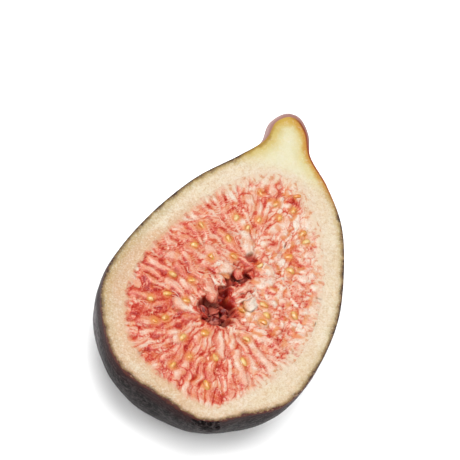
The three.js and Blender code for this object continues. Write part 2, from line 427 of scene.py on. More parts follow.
def make_group(name, inputs, output, output_kind, work_out):
    """A node group with named inputs, and one named output that a function works out from them."""
    tree = bpy.data.node_groups.new(name, "ShaderNodeTree")
    for label, default in inputs.items():
        kind = "NodeSocketVector" if isinstance(default, tuple) else "NodeSocketFloat"
        tree.interface.new_socket(label, in_out="INPUT", socket_type=kind).default_value = default
    tree.interface.new_socket(output, in_out="OUTPUT", socket_type=output_kind)
    start = tree.nodes.new("NodeGroupInput").outputs
    feed(tree.nodes.new("NodeGroupOutput"), {output: work_out(*(Shade(start[label]) for label in inputs))})
    return tree


MOTTLE = make_group(
    "mottle", {"Place": (0.0, 0.0, 0.0), "Scale": 300.0, "Low": 0.4, "High": 0.6, "Strength": 1.0},
    "Mask", "NodeSocketFloat",
    lambda place, scale, low, high, strength: grain_of(place, scale, 3.0, 0.6).fit(low, high) * strength)
RIM_TONE = make_group("rim_tone", {"Right": 0.0}, "Tone", "NodeSocketColor",
                      lambda right: coats((236, 196, 158), (right, (246, 223, 195))))


def mottle(place, scale, low, high, strength=1.0):
    """Soft patches or specks: 0 below one level of the noise and 1 above another."""
    return node(place.tree, "ShaderNodeGroup", "Mask", {
        "Place": place, "Scale": scale, "Low": low, "High": high, "Strength": strength}, node_tree=MOTTLE)


def rim_tone(right):
    """The colour where the rind's flesh turns into florets: rosier on the left."""
    return node(right.tree, "ShaderNodeGroup", "Tone", {"Right": right}, node_tree=RIM_TONE)


class Finish:
    """A new material: what it reads off a piece, and the surface that it makes of it."""

    def __init__(self, name):
        self.material = bpy.data.materials.new(name)
        self.material.use_nodes = True
        self.tree = self.material.node_tree
        self.tree.nodes.clear()

    def place(self):
        return node(self.tree, "ShaderNodeTexCoord", "Object", {})

    def read(self, *names):
        """The values that the piece's vertices carry under these names."""
        return [node(self.tree, "ShaderNodeAttribute", "Fac", {}, attribute_name=name) for name in names]

    def surface(self, **values):
        shader = self.tree.nodes.new("ShaderNodeBsdfPrincipled")
        feed(shader, {name.replace("_", " "): value for name, value in values.items()})
        output = self.tree.nodes.new("ShaderNodeOutputMaterial")
        self.tree.links.new(shader.outputs["BSDF"], output.inputs["Surface"])
        return self.material


def skin_material():
    """Near black with streaks, pale specks and a bloom, a painted sheen on the far left, and mauve on the
    neck with painted shade further below the cut.
    """
    finish = Finish("fig_skin")
    place = finish.place()
    along, turn, under = finish.read("along", "turn", "under_cut")
    rib, left_sheen, neck = finish.read("rib", "left_sheen", "neck_skin")
    streaks = grain_of(vector(turn * 26.0, along * 9.0), 1.0, 4.0, 0.6)
    cloudy = grain_of(place, 110.0, 4.0, 0.6)
    fine = grain_of(place, 1300.0, 3.0, 0.7)
    sheen_patches = grain_of(place, 240.0).fit(0.35, 0.65, 0.5, 1.0)
    bloom = fine.fit(0.47, 0.62) * cloudy.fit(0.3, 0.62, 0.3, 1.0)
    near_cut = under + cloudy.spread(0.2, 0.8, -1.6, 1.6)
    ragged = under + fine.spread(0.3, 0.7, -0.5, 0.5)
    uneven = streaks.spread(0.3, 0.7, -0.4, 0.4) + cloudy.spread(0.3, 0.7, -0.12, 0.12)
    mauve = coats(
        (188, 148, 144), (cloudy.fit(0.3, 0.7), (214, 180, 176)),
        # Painted shade: the mauve turns darker, in streaks, further below the cut.
        (under.fit(1.6, 5.0) * streaks.fit(0.3, 0.6, 0.35, 0.75), (98, 62, 66)),
        (mottle(place, 1100.0, 0.5, 0.7, 0.6), (224, 198, 192)),
        (under.fit(0.9, 0.1, 0.0, 0.7), (178, 114, 98)))
    tone = coats(
        (22, 13, 14), (cloudy.fit(0.35, 0.7), (44, 31, 32)),
        (streaks.fit(0.5, 0.75, 0.0, 0.4), (62, 50, 52)),
        (rib.fit(0.5, 1.0, 0.0, 0.1), (66, 56, 60)),
        (bloom * 0.6, (112, 103, 102)),
        # Painted sheen: pale grey on the far left of the skin, broken into patches.
        (left_sheen * sheen_patches * 0.9, (166, 160, 162)),
        (fine.fit(0.5, 0.38, 0.0, 0.8), (8, 6, 7)),
        (near_cut.fit(4.2, 0.6, 0.0, 0.8), (66, 34, 36)),
        (ragged.fit(0.9, 0.1, 0.0, 0.8), (122, 62, 46)),
        ((neck + uneven * under.fit(0.6, 2.5)).fit(0.2, 0.9), mauve))
    return finish.surface(
        Base_Color=tone, Roughness=cloudy.spread(0.3, 0.7, 0.4, 0.56), Specular_IOR_Level=0.025,
        Normal=relief((fine, 0.7, 0.14), (streaks, 0.4, 0.2), (grain_of(place, 260.0), 0.35, 0.3)))


def flesh_material():
    """Cream flesh that turns yellow, brown and at last dark towards the skin, and rosy towards the pulp."""
    finish = Finish("fig_flesh")
    place = finish.place()
    from_skin, from_pulp, right, left, low = finish.read("from_skin", "from_pulp", "rim_side", "left", "low")
    upper, neck, side, skinned, tip = finish.read("upper", "neck", "neck_side", "neck_skin", "tip")
    ragged = grain_of(place, 520.0, 3.0, 0.6)
    depth = from_skin + ragged.spread(0.2, 0.8, -0.4, 0.4)
    reach = depth * (1.0 + right * 0.5)
    near_pulp = from_pulp + grain_of(place, 230.0, 2.0).spread(0.3, 0.7, -1.0, 1.0)
    grain = (0.55 - neck * 0.3 - right * 0.15) * from_skin.fit(0.3, 0.9, 0.15, 1.0)
    cream = coats(
        (241, 219, 186), (mottle(place, 120.0, 0.35, 0.65), (247, 229, 200)),
        (left, (228, 190, 154)), (neck, (245, 238, 202)))
    tone = coats(
        (196, 174, 114), (low, (214, 170, 128)), (reach.spread(0.2, 2.6), cream),
        (upper * reach.fit(3.0, 0.4, 0.0, 0.6), (214, 186, 104)),
        (neck * depth.fit(4.4, 0.4, 0.0, 0.8), (226, 202, 106)),
        (depth.fit(1.0, 0.3), coats((142, 112, 74), (neck, (186, 146, 66)))),
        (depth.fit(0.36, 0.1) * (1.0 - skinned), coats((70, 50, 42), (low, (92, 40, 36)))),
        (tip * depth.fit(2.6, 0.5), (222, 184, 84)),
        (side * depth.fit(1.7, 0.4), (216, 156, 62)),
        (side * from_skin.fit(0.55, 0.2), (158, 74, 40)),
        (near_pulp.fit(2.0, 0.0), rim_tone(right)),
        (from_pulp.fit(0.5, 0.1), rim_tone(right)),
        (mottle(place, 1500.0, 0.5, 0.7, from_skin.fit(0.3, 0.9, 0.0, 0.26)), (255, 246, 228)),
        (mottle(place, 1500.0, 0.48, 0.32, 0.45 - neck * 0.38), (218, 182, 138)),
        (mottle(place, 3600.0, 0.5, 0.7, grain), (255, 250, 236)),
        (mottle(place, 3600.0, 0.5, 0.3, grain), (194, 156, 108)))
    return finish.surface(
        Base_Color=tone, Roughness=0.6, Specular_IOR_Level=0.15,
        Normal=relief((grain_of(place, 1500.0, 3.0, 0.6), 0.3, 0.1), (ragged, 0.25, 0.2)),
        Subsurface_Weight=0.4, Subsurface_Radius=(1.0, 0.5, 0.25), Subsurface_Scale=0.0006)


PULP_TONES = (  # from the palest florets to the reddest creases
    (255, 240, 222), (253, 208, 184), (245, 160, 129), (231, 102, 79), (211, 58, 40), (182, 14, 3))


def pulp_material():
    """Wet florets, from nearly white to deep red, with fibres along them; painted shade reddens and darkens
    the creases between them, their sides and what lies deep.
    """
    finish = Finish("fig_pulp")
    place = finish.place()
    rim, depth, right, soft, gold = finish.read("from_rim", "depth", "rim_side", "soft", "gold")
    floret, tint, line, seam = finish.read("tone", "tint", "line", "seam")
    across, side, run = finish.read("across", "side_mm", "run_mm")

    def strands(wide, long):
        """Noise drawn out along a floret, with so many cycles to the millimetre across it and along it."""
        return grain_of(vector(side * wide, run * long, tint * 40.0), 1.0, 2.0)

    fibres, hairs = strands(1.3, 0.24), strands(3.4, 0.7)
    speckle, grain = grain_of(place, 1700.0, 3.0, 0.7), grain_of(place, 4200.0, 2.0, 0.6)
    # Streaks along the florets: their fibres, and partly painted highlight where they turn pale.
    streaks = fibres.spread(0.3, 0.7, 0.15, -0.15) + hairs.spread(0.3, 0.7, 0.08, -0.08)
    tone = floret + streaks * (1.0 - soft * 0.75) + speckle.spread(0.3, 0.7, 0.07, -0.07)
    # Painted shade and highlight: each floret is paler along its middle and redder towards its sides.
    tone += across.fit(0.3, 1.0, -0.12, 0.2)
    # Painted shade: the florets turn redder the deeper they lie under the cut.
    tone += depth.fit(0.2, 1.4, 0.0, 0.3)
    tone += rim.fit(0.3, 2.6, -0.14, 0.0)
    # Painted shade in the creases between florets, partly their own red: there they turn redder and darker.
    tone += line * 0.64
    red = tone.fit(0.75, 1.2)
    ragged = rim + hairs.spread(0.3, 0.7, -0.5, 0.5)
    fading = ragged.fit(1.5, 0.3) * (1.0 - fibres.fit(0.5, 0.38, 0.0, 0.55))
    body = coats(
        ramp(tone, PULP_TONES),
        # Pale specks on the paler florets: partly grain, partly painted glints.
        (grain.fit(0.5, 0.7, 0.0, 0.55) * tone.fit(0.45, 0.9, 1.0, 0.45), (255, 212, 188)),
        (grain.fit(0.5, 0.3, 0.0, 0.5), (180, 80, 62)),
        (gold * tone.spread(1.0, 0.3, 0.35, 0.85), (238, 146, 72)),
        (fading.at_least(rim.fit(0.35, 0.05)), rim_tone(right)),
        (rim.fit(1.6, 0.6) * right * mottle(place, 1000.0, 0.52, 0.66, 0.7), (222, 142, 84)),
        # Painted shade, partly the pulp's own colour: down the hollow the florets turn deep red, browner
        # further down, and near black-red where they are red.
        (depth.fit(0.9, 2.2, 0.0, 0.8), coats((208, 84, 66), (red, (120, 12, 12)))),
        (depth.fit(2.2, 3.8, 0.0, 0.85), coats((216, 124, 104), (red, (120, 24, 22)))))
    even = 1.0 - seam
    return finish.surface(
        Base_Color=body, Roughness=rim.spread(0.0, 1.0, 0.5, 0.3), Specular_IOR_Level=0.06,
        Normal=relief((speckle, 0.5, 0.1), (hairs, even * 0.5, 0.16), (fibres, even * 0.6, 0.3)),
        Subsurface_Weight=0.4, Subsurface_Radius=(1.0, 0.5, 0.35), Subsurface_Scale=0.00025,
        Coat_Weight=0.14, Coat_Roughness=0.08)


def seed_material():
    finish = Finish("fig_seeds")
    tint, across = finish.read("tint", "across")
    tone = coats(
        (250, 190, 96), (tint, (242, 152, 66)),
        # Painted highlight: pale mottling on the seeds.
        (mottle(finish.place(), 700.0, 0.4, 0.7), (254, 222, 154)),
        (across.fit(0.3, 0.95), (228, 108, 46)))
    return finish.surface(
        Base_Color=tone, Roughness=0.25, Specular_IOR_Level=0.3,
        Subsurface_Weight=0.4, Subsurface_Radius=(1.0, 0.5, 0.3), Subsurface_Scale=0.0002,
        Coat_Weight=0.4, Coat_Roughness=0.08)


def thread_material():
    finish = Finish("fig_threads")
    tint, = finish.read("tint")
    return finish.surface(
        Base_Color=coats((276.6, 243.8, 222.1), (tint, (263.2, 210.1, 182.9))),
        Roughness=0.3, Specular_IOR_Level=0.3,
        Subsurface_Weight=0.15, Subsurface_Radius=(1.0, 0.5, 0.35), Subsurface_Scale=0.0003)


# ---- rind ----

SKIN_RINGS = 64
FACE_RINGS = 16
WALL_RINGS = 30
AROUND = 256
HEART = Vector((1.0, 3.0, WIDEST))  # about the middle of the whole fig
FACE_RELIEF = 0.07
SHARP_EDGE = radians(40.0)


def sphere_place(share, angle):
    """Where a share and an angle of a form lie on the unit sphere whose poles are the form's ends."""
    reach = sin(pi * share)
    return Vector((reach * cos(angle), -cos(pi * share), -reach * sin(angle)))


def form_place(place):
    """The share and the angle that a place on that sphere stands for."""
    share = acos(min(max(-place.y, -1.0), 1.0)) / pi
    return share, atan2(-place.z, place.x)


def facing_rim(point, rim):
    """The triple of the pulp's rim that lies between a point of the outline and the pulp's middle."""
    middle = nearest(point, *CORE)
    heading = (point - middle).normalized()
    return max(rim, key=lambda spot: (spot[0] - middle).normalized().dot(heading))


def dent(place):
    """The skin's slight unevenness."""
    return 0.28 * noise.noise(place / 7.0) + 0.1 * noise.noise(place / 2.6)


def make_rind(skin, flesh):
    """One closed skin: up the outside, across the cut face and down the wall that holds the pulp."""
    edge = even_line(cut_outline(FIG), AROUND)
    pulp_line = cut_outline(PULP)
    rim = [facing_rim(point, pulp_line) for point, _, _ in edge]
    outside, wall = loft(FIG, rib_swell), loft(PULP)
    rings = SKIN_RINGS + FACE_RINGS + WALL_RINGS
    rind = add_ball("skin_and_flesh", AROUND, rings)
    turn = {}
    for vertex in rind.data.vertices:
        height, index = ball_grid(vertex, AROUND)
        ring = round(height * rings)
        if ring <= SKIN_RINGS:
            reach = ring / SKIN_RINGS
            place = (-UP).slerp(sphere_place(*edge[index][1:]), 1.0 - (1.0 - reach) ** 1.5)
            share, angle = form_place(place)
            spot = outside(share, angle)
            spot += (spot - HEART).normalized() * dent(spot) * (1.0 - reach ** 6)
            spot.z = max(spot.z, 0.0)
            turn[vertex.index] = angle
        elif ring <= SKIN_RINGS + FACE_RINGS:
            spot = edge[index][0].lerp(rim[index][0], (ring - SKIN_RINGS) / FACE_RINGS)
            spot.z = CUT
        else:
            place = (-UP).slerp(sphere_place(*rim[index][1:]), (rings - ring) / WALL_RINGS)
            spot = wall(*form_place(place))
        vertex.co = spot * MM
    finish_piece(rind, "rind", skin, flesh, stands_for="rind")
    finish_cut_face(rind, [spot[0] for spot in edge], [spot[0] for spot in rim], turn)
    bpy.ops.object.shade_smooth_by_angle(angle=SHARP_EDGE)


def finish_cut_face(rind, outline, rim, turn):
    """Gives the cut face its material, its slight relief and the values that its colour follows."""
    mesh = rind.data
    top = CUT * MM - 1e-6
    on_face = {index for polygon in mesh.polygons if polygon.center.z > top for index in polygon.vertices}
    for polygon in mesh.polygons:
        polygon.material_index = 0 if all(index in turn for index in polygon.vertices) else 1
    from_outline, from_rim = distance_from(outline), distance_from(rim)
    rows = []
    for vertex in mesh.vertices:
        place = vertex.co / MM
        angle = turn.get(vertex.index, 0.0)
        row = rind_values(place, angle) | {"from_skin": from_outline(place), "from_pulp": from_rim(place)}
        if vertex.index in on_face and row["from_skin"] > 0.3:
            vertex.co.z += FACE_RELIEF * noise.noise(place * 0.6) * ease(1.2, 2.0, row["from_pulp"]) * MM
        rows.append(row)
    write_values(rind, rows)


def rind_values(place, angle):
    """How far a place is in each of the rind's regions, and where it lies along the fig and round it."""
    x, y, under = place.x, place.y, CUT - place.z
    deep = ease(1.5, 6.0, under)
    return {
        "neck": ease(27.0, 33.0, y),
        "neck_side": ease(24.0, 33.0, y) * ease(3.0, 6.0, x),
        "neck_skin": ease(31.0 - 2.0 * deep, 35.0 + 6.0 * deep, y - 0.25 * x),
        "tip": ease(36.5, 42.5, y),
        "low": ease(-8.0, -22.0, y),
        "left": ease(-6.0, -18.0, x) * ease(-16.0, -8.0, y) * ease(9.0, 1.0, y),
        "upper": ease(10.0, 24.0, y),
        # painted sheen: the far left of the skin, from a little below the cut downwards
        "left_sheen": ease(-15.5, -20.5, x) * ease(2.0, 6.0, under),
        "rim_side": rim_side(place),
        "under_cut": under,
        "along": (y - FIG["eye"][1]) / (FIG["tip"][1] - FIG["eye"][1]),
        "turn": angle,
        "rib": 0.5 + 0.5 * cos(RIBS * angle),
    }


EYE_RINGS = ((9, 2.3), (5, 1.0))  # how many scales close the eye, and how far out their middles lie
SCALE_SIZE = (2.6, 1.9, 0.9)  # length towards the eye's middle, width, thickness
SCALE_SLOPE = 0.9
RING_STEP = 0.4  # the inner ring lies this much further out of the fig
SCALE_TOP = CUT - 0.12


def make_eye(skin):
    """The two rings of small scales that close the eye, cut off with the fig."""
    model = add_ball("scale", 12, 8, 0.5)
    bpy.ops.object.shade_smooth()
    middle = Vector((*FIG["eye"], WIDEST))
    copies = []
    for ring, (count, radius) in enumerate(EYE_RINGS):
        for index in range(count):
            angle = (index + ring / 2.0) / count * tau + around(0.08)
            spoke = Vector((cos(angle), 0.0, sin(angle)))
            if spoke.z * radius > CUT_ABOVE_WIDEST - 0.3:
                continue
            across = Vector((-spoke.z, 0.0, spoke.x))
            length, width, thickness = (size * (1.0 + around(0.08)) for size in SCALE_SIZE)
            copy = copy_of(model)
            for vertex in copy.data.vertices:
                along, side, out = vertex.co.z * length, vertex.co.x * width, vertex.co.y * thickness
                place = middle + spoke * (radius + along) + across * side
                place.y += out - ring * RING_STEP + SCALE_SLOPE * (0.5 + along / length)
                place += sway(place, 1.4, place.z) * 0.12
                place.z = min(place.z, SCALE_TOP)
                vertex.co = place * MM
            copies.append(copy)
    scales = join(copies, "eye_scales", model)
    write_values(scales, [{"along": 0.0, "under_cut": 9.0, "left_sheen": 0.0, "rib": 0.5, "neck_skin": 0.0,
                           "turn": atan2(place.z - WIDEST, place.x - middle.x)} for place in places(scales)])
    finish_piece(scales, "rind", skin)


# ---- pulp ----

TOP_COLUMNS = 250  # of the bed's mesh, from side to side of the cut
UNDER_COLUMNS = 40
BED_ROWS = 300
LAP = 0.8  # the florets' roots run out over the rind's flesh this far
UNDER_TOP = CUT - 0.2  # the bed's underside begins below this
PRESSED_TOP = CUT + 0.4  # what stands free is pressed flatter above this
BED_FLOOR = 0.8  # the creases between florets go no further down than this
CREASE_BLEND = 0.22  # florets closer in height than this run into each other softly
PULP_VALUES = ("from_rim", "depth", "line", "seam", "across", "side_mm", "run_mm", "tint", "tone", "soft",
               "gold", "rim_side")

FLORET_TRIES = 7000
GRAIN_TRIES = 9000
Floret = namedtuple("Floret", "centre heading length width slope lift tint soft")
Kind = namedtuple("Kind", "lengths widths slope")

LYING = Kind((4.0, 9.0), (1.0, 2.1), 0.35)  # florets that the knife ran along
BROAD = Kind((4.0, 8.0), (1.7, 2.7), 0.35)  # the same, and plumper
END_ON = Kind((0.4, 1.8), (1.0, 1.7), 0.12)  # florets that the knife met end on
GRAINS = Kind((0.2, 1.6), (0.5, 1.0), 0.1)  # small ones between the others
LUMPS = [  # large and wet, about the hollow: x, y, heading, length, width, lift, tint
    (-5.0, -5.6, 4.0, 3.6, 2.3, 0.3, 0.1), (-3.0, 7.0, -50.0, 2.6, 2.6, 0.3, 0.1),
    (0.6, 4.4, -50.0, 2.0, 2.8, 0.45, 0.0), (-2.4, 0.2, -60.0, 3.0, 3.4, 0.1, 0.55),
    (2.4, 12.0, -60.0, 4.0, 3.0, 0.5, 0.0), (4.4, 1.6, 235.0, 3.4, 1.8, 0.1, 0.45),
    (7.0, 7.9, 190.0, 2.4, 2.4, 0.3, 0.1), (7.7, 4.8, 190.0, 2.6, 2.2, 0.2, 0.25),
    (8.9, -2.4, 150.0, 2.4, 2.4, 0.3, 0.2), (3.3, -10.0, 100.0, 4.4, 1.7, 0.35, 0.2),
    (5.2, -8.6, 105.0, 4.0, 1.6, 0.3, 0.15), (-3.9, -11.6, 60.0, 2.6, 2.6, 0.3, 0.1),
    (10.6, -9.6, 140.0, 8.0, 2.3, 0.3, 0.1), (7.6, -13.0, 120.0, 8.0, 2.2, 0.3, 0.15),
]
RED_SPOTS = [  # places where the florets are a deeper red: x, y, reach, strength
    (9.4, 24.7, 2.3, 1.9), (4.9, -21.2, 2.4, 1.5), (-13.2, -11.6, 3.6, 0.25), (-11.6, -4.6, 3.8, 0.2),
    (-8.7, 2.8, 3.0, 0.3), (0.4, -17.6, 3.6, 0.4), (-3.6, -14.6, 3.2, 0.4), (2.6, 1.4, 4.2, 0.9),
    (4.8, 7.4, 3.4, 0.7), (0.6, -5.4, 4.6, 0.9), (12.6, 12.4, 2.4, 0.5), (-3.5, 12.5, 3.2, 0.4),
]


def hollow_depth(place):
    """How far the hollow goes down at a place."""
    shifted = place + sway(place, 1.6, 3.0) * 0.9
    return max(depth * ease(1.3, 0.65, hypot((shifted.x - x) / wide, (shifted.y - y) / long))
               for x, y, wide, long, depth in PITS)


def grainy(place):
    """1 where the knife met the florets end on, 0 where it ran along them."""
    shifted = place + sway(place, 5.0, 9.0) * 4.0
    return ease(4.0, 8.0, shifted.x) * ease(-10.0, -5.0, shifted.y)


def lower(place):
    """1 at the lower right of the cut face, where the florets are paler and run into each other."""
    return ease(1.0, 6.0, place.x) * ease(-5.0, -11.0, place.y)


def calm(place):
    """1 where the florets differ little in colour and height: towards the eye and towards the neck."""
    return max(lower(place), ease(0.0, 7.0, place.y) * (1.0 - grainy(place)),
               0.8 * ease(-6.0, -12.0, place.y))


def rim_width(place):
    """How far in from the rim the florets take to stand out from the rind."""
    right = ease(4.0, 14.0, place.x) * ease(-24.0, -12.0, place.y)
    return 0.6 + 0.8 * right + 1.1 * ease(14.0, 26.0, place.y)


def redness(place):
    """How much redder than others the florets are at a place."""
    patch = 0.26 * ease(0.1, 0.5, wave(place / 3.0, 21.0))
    return max(patch, *(strength * ease(1.0, 0.2, hypot(place.x - x, place.y - y) / reach)
                        for x, y, reach, strength in RED_SPOTS))


def floret_tone(place, tint, inner):
    """How red a floret is, from 0 for the palest to 1."""
    tone = 0.42 + (0.32 - 0.14 * calm(place)) * (tint - 0.5)
    tone += 0.2 * wave(place / 2.0, 61.0) + 0.3 * redness(place)
    tone -= 0.09 * ease(6.0, 18.0, place.y) + 0.08 * grainy(place) + 0.04 * lower(place)
    tone += 0.24 * grainy(place) * wave(place / 1.2, 45.0)
    return tone - 0.08 * ease(0.5, 0.8, inner)


def golden(place):
    """Patches where the florets are more orange, most of them on the right."""
    return ease(0.05, 0.45, wave(place / 1.3, 90.0)) * (0.45 + 0.4 * grainy(place))


def turned(heading, angle):
    """A level direction turned by an angle."""
    return Vector((heading.x * cos(angle) - heading.y * sin(angle),
                   heading.x * sin(angle) + heading.y * cos(angle), 0.0))


def run_and_side(offset, heading):
    """How far an offset goes along a level direction, and to its side."""
    return offset.dot(heading), offset.x * heading.y - offset.y * heading.x


def scatter_florets():
    """Florets that lie close beside and partly over each other, each pointing at the hollow."""
    florets = [Floret(Vector((x, y, 0.0)), turned(Vector((1.0, 0.0, 0.0)), radians(heading)),
                      length, width, 0.3, lift, tint, 0.8)
               for x, y, heading, length, width, lift, tint in LUMPS]
    for _ in range(FLORET_TRIES):
        centre = pulp_place(0.05, 0.95)
        lying = BROAD if draw.random() < 0.8 * ease(-5.0, -9.0, centre.x) else LYING
        kind = END_ON if draw.random() < grainy(centre) else lying
        add_floret(florets, florets, centre, kind, 0.12, around(0.18))
    grains = []
    for _ in range(GRAIN_TRIES):
        centre = pulp_place(0.02, 0.97)
        crowd = ease(0.15, 0.5, wave(centre / 3.5, 70.0))
        add_floret(florets, grains, centre, GRAINS, 0.8, -0.34 + 0.36 * crowd + around(0.08))
    return florets


def pulp_place(least, most):
    """A random place between the rim and the hollow's middle line, evenly spread over the face."""
    rim = draw.choice(PULP_RIM)
    inwards = 1.0 - sqrt(draw.random())
    return rim.lerp(on_spine(rim), least + (most - least) * inwards)


def add_floret(florets, neighbours, centre, kind, wander, lift):
    """Adds a floret to both lists if none of its neighbours lies too close."""
    length, width = draw.uniform(*kind.lengths), draw.uniform(*kind.widths)
    tint = draw.random()
    turn = 0.7 * wave(centre / 4.0, 5.0) + around(wander)
    heading = turned(inward(centre), turn)
    if all(spread_apart(centre, other) for other in neighbours):
        floret = Floret(centre, heading, length, width, kind.slope, lift, tint, 0.0)
        florets.append(floret)
        if neighbours is not florets:
            neighbours.append(floret)


def spread_apart(centre, other):
    """Whether a place keeps clear of a floret."""
    run, side = run_and_side(centre - other.centre, other.heading)
    return (run / (0.5 * other.length + 0.35)) ** 2 + (side / (0.8 * other.width)) ** 2 > 1.0


def floret_tree(florets):
    """A search tree over spots along the florets, and the number of the floret that each spot is on."""
    spots, owners = [], []
    for index, floret in enumerate(florets):
        steps = max(2, ceil(floret.length / 0.9))
        for step in range(steps + 1):
            run = (step / steps - 0.5) * floret.length
            spots.append(floret.centre + floret.heading * run)
            owners.append(index)
    return search_tree(spots), owners


def press(place, florets, tree, owners):
    """The height of the pressed florets at a place, the step down to the next one, and the one on top, with
    how far out from its middle line the place lies, and how many millimetres aside and along."""
    shifted = place + sway(place, 3.4, 1.0) * 0.9 + sway(place, 1.3, 2.0) * 0.36
    ranked = []
    for index in {owners[number] for _, number, _ in tree.find_n(shifted, 16)}:
        floret = florets[index]
        run, side = run_and_side(shifted - floret.centre, floret.heading)
        half = floret.length / 2.0
        held = min(max(run, -half), half)
        along = (held + half) / floret.length
        radius = floret.width * 0.5 * (1.08 - 0.3 * along)
        reach = hypot(side, run - held) / radius
        height = floret.lift - floret.slope * along - 0.28 * min(reach, 1.5) ** 2.2
        ranked.append((height, reach, side, run, index))
    ranked.sort(reverse=True)
    height, reach, side, run, index = ranked[0]
    gap = height - ranked[1][0] if len(ranked) > 1 else 9.0
    softened = max(0.0, 1.0 - gap / CREASE_BLEND) ** 2 * CREASE_BLEND / 4.0
    return height + softened, gap, florets[index], reach, side, run


def crease_strength(place, gap):
    """How much painted shade the crease gets: some are broad and deep, others a hair's breadth, and some
    fade away.
    """
    spot = place / 2.4 + UP * 50.0
    strength = 0.4 + 0.9 * ease(-0.3, 0.2, noise.noise(spot))
    breadth = 0.09 + 0.26 * ease(-0.2, 0.4, wave(spot * 1.3, 9.0))
    return min(1.0, strength) * (1.0 - ease(0.0, breadth, gap))


def pulp_keel(share):
    return PULP_BACK(share / 2.0).z


def top_place(share, across):
    """A point of the pulp's face: across runs from the right rim to the left one."""
    middle, half = section(PULP_OUTLINE, share)
    reach = sqrt(max(0.0, 1.0 - (CUT_ABOVE_WIDEST / max(pulp_keel(share), 1e-6)) ** 2))
    place = middle + half * reach * (1.0 - 2.0 * across)
    place.z = min(CUT, WIDEST + pulp_keel(share))
    return place


def under_place(share, across, below):
    """A point of the pulp's round underside, a little under the cut: across runs back to the right rim."""
    start = asin(min(CUT_ABOVE_WIDEST / max(pulp_keel(share), 1e-6), 1.0))
    place = below(share, pi + start - across * (pi + 2.0 * start))
    place.z = min(place.z, UNDER_TOP)
    return place


def press_face(place, from_rim, pressing, seed_tree):
    """Presses the florets and the hollow into a point of the pulp's face, and returns the point's values."""
    flat = level(place)
    height, gap, floret, reach, side, run = press(flat, *pressing)
    rough = noise.noise(flat * 0.9)
    width = rim_width(flat)
    rise = (max(height, -BED_FLOOR) - 0.1) * (1.0 - 0.48 * calm(flat))
    place.z += rise * ease(0.2 * width, 1.8 * width, from_rim + 0.5 * rough)
    place.z -= hollow_depth(flat) * (1.0 - 0.3 * wave(flat * 0.9, 40.0))
    inwards = (on_spine(flat) - flat).length
    line = crease_strength(flat, gap) * (1.0 - 0.25 * grainy(flat) - 0.42 * calm(flat))
    return {
        "from_rim": from_rim / width + 0.8 * wave(flat * 0.7, 30.0) * min(from_rim, 1.0),
        "depth": CUT - place.z,
        # the crease between florets, which the material colours with painted shade
        "line": line * ease(-0.3, 0.5 * width, from_rim + 0.7 * rough),
        "seam": ease(0.3, 0.1, gap),
        # how far out towards a floret's side, which the material reddens as painted shade
        "across": min(reach, 1.0) * (1.0 - 0.3 * grainy(flat)),
        "side_mm": side,
        "run_mm": run,
        "tint": floret.tint,
        "tone": floret_tone(flat, floret.tint, from_rim / (from_rim + inwards + 1e-6)),
        "soft": floret.soft,
        "gold": max(ease(1.5, 0.6, seed_tree.find(flat)[2]), golden(flat)),
        "rim_side": rim_side(flat),
    }


def lap_over(place, from_rim):
    """Draws the pulp's edge out over the rind's flesh, where it ends in a thin lip."""
    flat = level(place)
    place -= inward(flat) * LAP * (0.5 + 0.9 * noise.noise(flat * 0.8)) * (1.0 - from_rim) ** 2
    place.z += 0.02 * ease(0.0, 0.5, from_rim) * ease(1.0, 0.5, from_rim)
    place.z -= 0.04 * ease(0.2, 0.0, from_rim)


def make_bed(florets, seed_spots, material):
    """The bed of pressed florets with its hollow, closed below by the pulp's round underside."""
    below = loft(PULP)
    pressing = (florets, *floret_tree(florets))
    seed_tree = search_tree(seed_spots)
    columns = TOP_COLUMNS + UNDER_COLUMNS
    bed = add_ball("pulp_bed", columns, BED_ROWS)
    rows = []
    for vertex in bed.data.vertices:
        share, column = ball_grid(vertex, columns)
        share = 0.5 * share + 0.25 * (1.0 - cos(pi * share))
        if column <= TOP_COLUMNS:
            place = top_place(share, column / TOP_COLUMNS)
        else:
            place = under_place(share, (column - TOP_COLUMNS) / UNDER_COLUMNS, below)
        from_rim = from_pulp_rim(place) if pulp_keel(share) > CUT_ABOVE_WIDEST else 0.0
        if column <= TOP_COLUMNS:
            rows.append(press_face(place, from_rim, pressing, seed_tree))
            if from_rim < 1.0:
                lap_over(place, from_rim)
        else:
            rows.append(dict.fromkeys(PULP_VALUES, 0.0) | {"from_rim": from_rim, "depth": CUT - place.z})
        vertex.co = place * MM
    write_values(bed, rows)
    bpy.ops.object.shade_smooth()
    return finish_piece(bed, "pulp", material, stands_for="pulp")


def surface_finder(bed):
    """A function that gives the height of the bed's face at a place, in millimetres."""
    tree = bvhtree.BVHTree.FromObject(bed, bpy.context.evaluated_depsgraph_get())

    def height(place):
        hit = tree.ray_cast(Vector((place.x * MM, place.y * MM, 0.1)), -UP)[0]
        return hit.z / MM

    return height


def round_model(name, segments, rings, blunt, taper):
    """A plump body along X from 0 to 1, one wide and one high, to be copied and bent."""
    model = add_ball(name, segments, rings)
    for vertex in model.data.vertices:
        share = (1.0 + vertex.co.z) / 2.0
        ring = hypot(vertex.co.x, vertex.co.y)
        grow = ring ** blunt / ring * (1.0 - taper * share) if ring > 1e-5 else 0.0
        vertex.co = Vector((share, vertex.co.x * grow * 0.5, vertex.co.y * grow * 0.5))
    bpy.ops.object.shade_smooth()
    # across: how far out to the side, which the pulp's material reddens as painted shade
    write_values(model, [dict.fromkeys(PULP_VALUES, 0.0) | {"across": abs(vertex.co.y) * 2.0}
                         for vertex in model.data.vertices])
    return model


